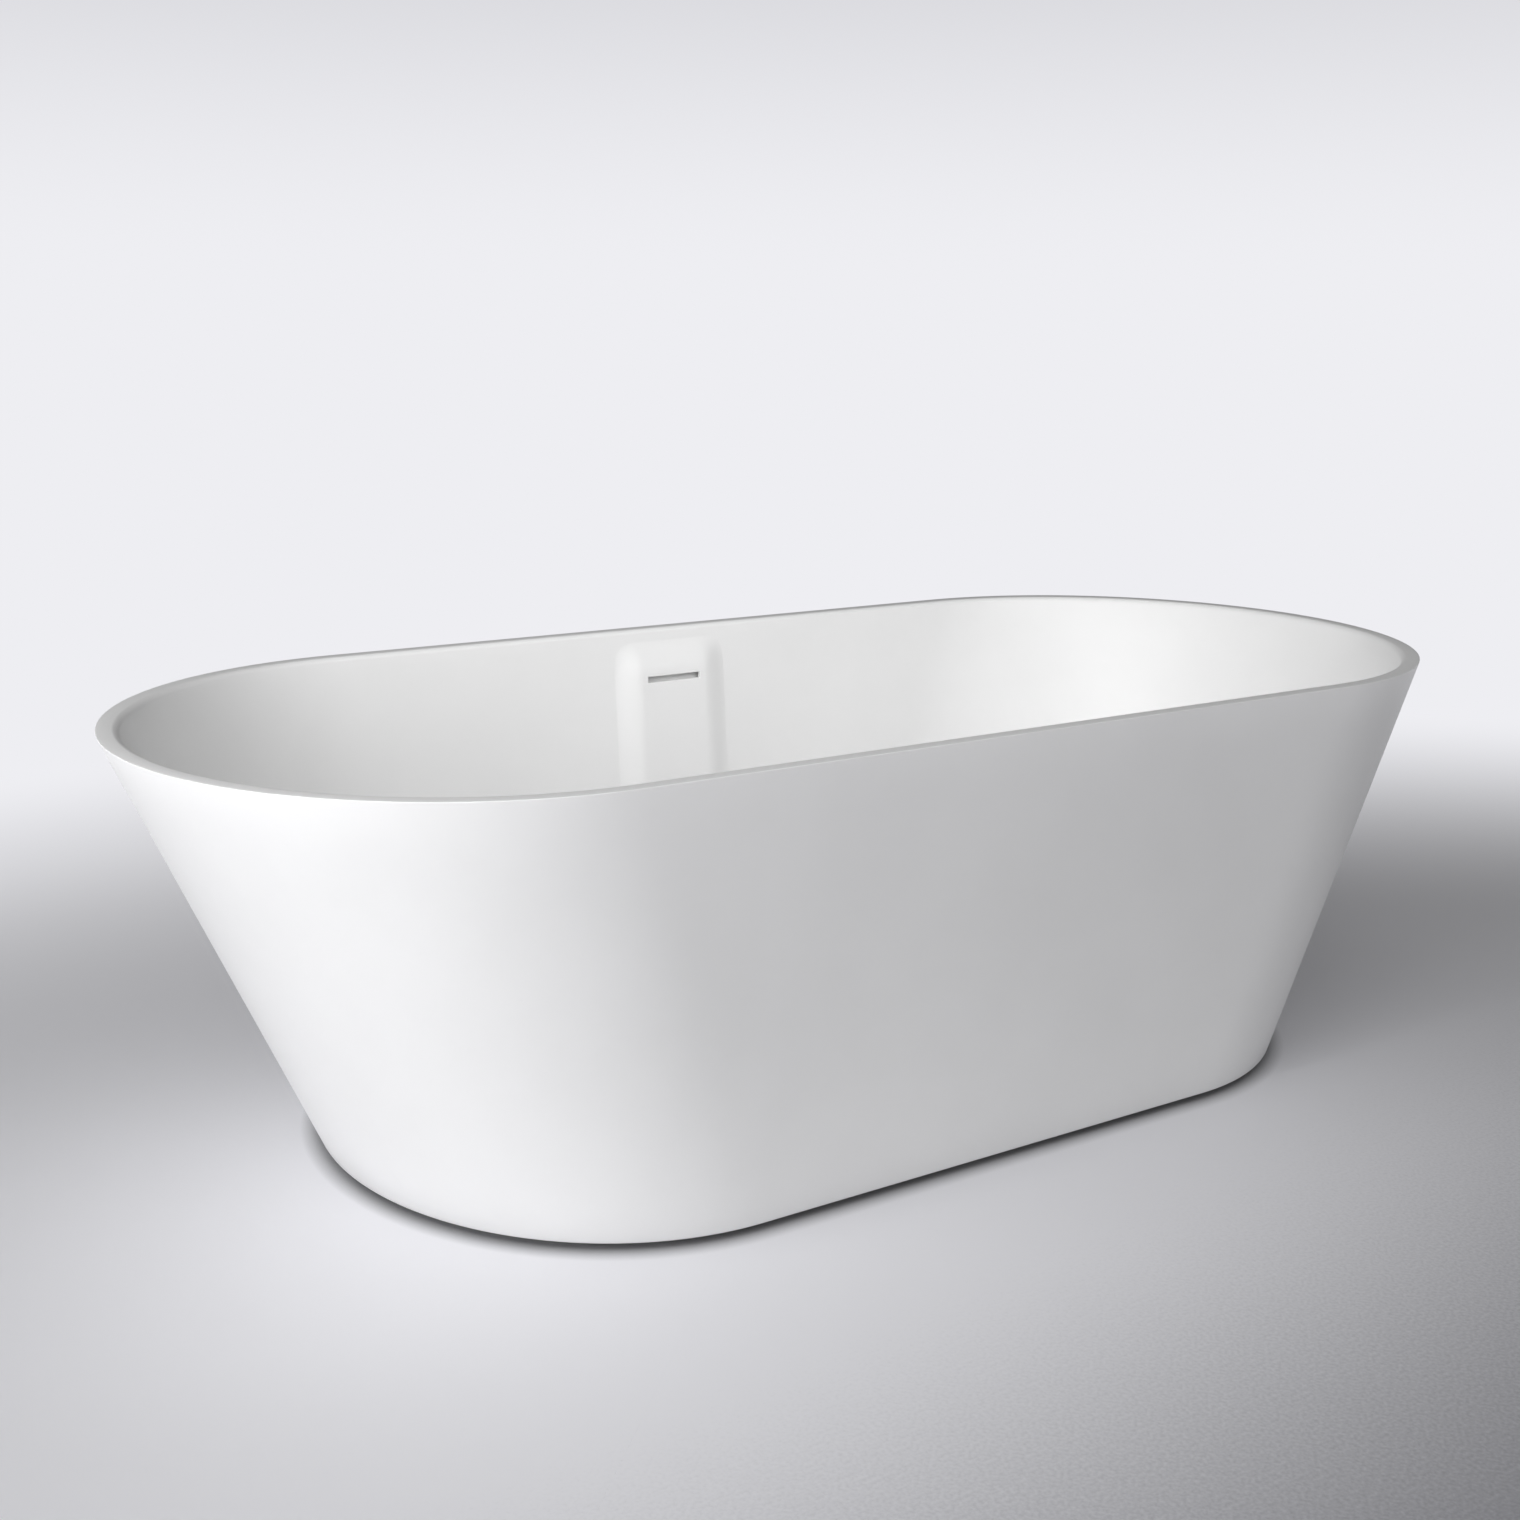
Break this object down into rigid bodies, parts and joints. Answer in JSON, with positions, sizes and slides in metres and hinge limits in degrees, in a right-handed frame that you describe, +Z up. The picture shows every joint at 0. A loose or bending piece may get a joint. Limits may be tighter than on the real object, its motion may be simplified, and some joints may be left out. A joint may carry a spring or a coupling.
{
  "type": "freestanding bathtub",
  "caption": "Freestanding oval-ended cast bathtub with straight tapering walls, a raised overflow column with a slot, a pop-up waste with a shallow trap, and a frame on levelling feet.",
  "frame": {"origin": "on the floor at the middle of the tub's outline", "axes": "+X along the tub, +Y across it towards the overflow column, +Z up"},
  "size_m": [1.7, 0.8, 0.5],
  "materials": {
    "solid_surface": "satin",
    "chrome": "polished",
    "zinc_steel": "satin",
    "frame_steel": "satin",
    "white_plastic": "satin",
    "grey_plastic": "satin",
    "black_plastic": "satin",
    "black_rubber": "matte",
    "bonding_block": "matte"
  },
  "bodies": {
    "tub": {"tub_shell": "solid_surface", "overflow_cover": "solid_surface", "overflow_connector": "grey_plastic", "overflow_pipe": "grey_plastic", "overflow_nut_front": "black_plastic", "overflow_nut_rear": "black_plastic", "drain_flange": "chrome", "flange_gasket": "black_rubber", "waste_gasket": "black_rubber", "waste_body": "grey_plastic", "click_cartridge": "white_plastic", "trap_inlet_seal": "black_rubber", "trap_inlet_nut": "white_plastic", "trap_body": "white_plastic", "trap_outlet_seal": "black_rubber", "trap_outlet_nut": "white_plastic", "outlet_pipe": "white_plastic", "outlet_coupling": "grey_plastic", "frame_crossbar_left": "frame_steel", "frame_crossbar_right": "frame_steel", "frame_rail_front": "frame_steel", "bonding_block_front_1": "bonding_block", "bonding_block_front_2": "bonding_block", "bonding_block_front_3": "bonding_block", "bonding_block_front_4": "bonding_block", "frame_rail_rear": "frame_steel", "bonding_block_rear_1": "bonding_block", "bonding_block_rear_2": "bonding_block", "bonding_block_rear_3": "bonding_block", "bonding_block_rear_4": "bonding_block", "rail_cap_front_left": "black_plastic", "foot_lock_nut_front_left": "zinc_steel", "foot_insert_front_left": "zinc_steel", "rail_cap_front_right": "black_plastic", "foot_lock_nut_front_right": "zinc_steel", "foot_insert_front_right": "zinc_steel", "rail_cap_rear_left": "black_plastic", "foot_lock_nut_rear_left": "zinc_steel", "foot_insert_rear_left": "zinc_steel", "rail_cap_rear_right": "black_plastic", "foot_lock_nut_rear_right": "zinc_steel", "foot_insert_rear_right": "zinc_steel"},
    "plug": {"drain_plug": "solid_surface", "plug_seal": "black_rubber", "plug_stem": "zinc_steel"},
    "foot_front_left": {"foot_pad_front_left": "black_rubber", "foot_stud_front_left": "zinc_steel"},
    "foot_front_right": {"foot_pad_front_right": "black_rubber", "foot_stud_front_right": "zinc_steel"},
    "foot_rear_left": {"foot_pad_rear_left": "black_rubber", "foot_stud_rear_left": "zinc_steel"},
    "foot_rear_right": {"foot_pad_rear_right": "black_rubber", "foot_stud_rear_right": "zinc_steel"}
  },
  "joints": [
    {"name": "plug_lift", "type": "slide", "parent": "tub", "child": "plug", "axis": [0, 0, 1], "range_m": [0, 0.009]},
    {"name": "foot_front_left_height", "type": "slide", "parent": "tub", "child": "foot_front_left", "axis": [0, 0, -1], "range_m": [0, 0.012]},
    {"name": "foot_front_right_height", "type": "slide", "parent": "tub", "child": "foot_front_right", "axis": [0, 0, -1], "range_m": [0, 0.012]},
    {"name": "foot_rear_left_height", "type": "slide", "parent": "tub", "child": "foot_rear_left", "axis": [0, 0, -1], "range_m": [0, 0.012]},
    {"name": "foot_rear_right_height", "type": "slide", "parent": "tub", "child": "foot_rear_right", "axis": [0, 0, -1], "range_m": [0, 0.012]}
  ]
}
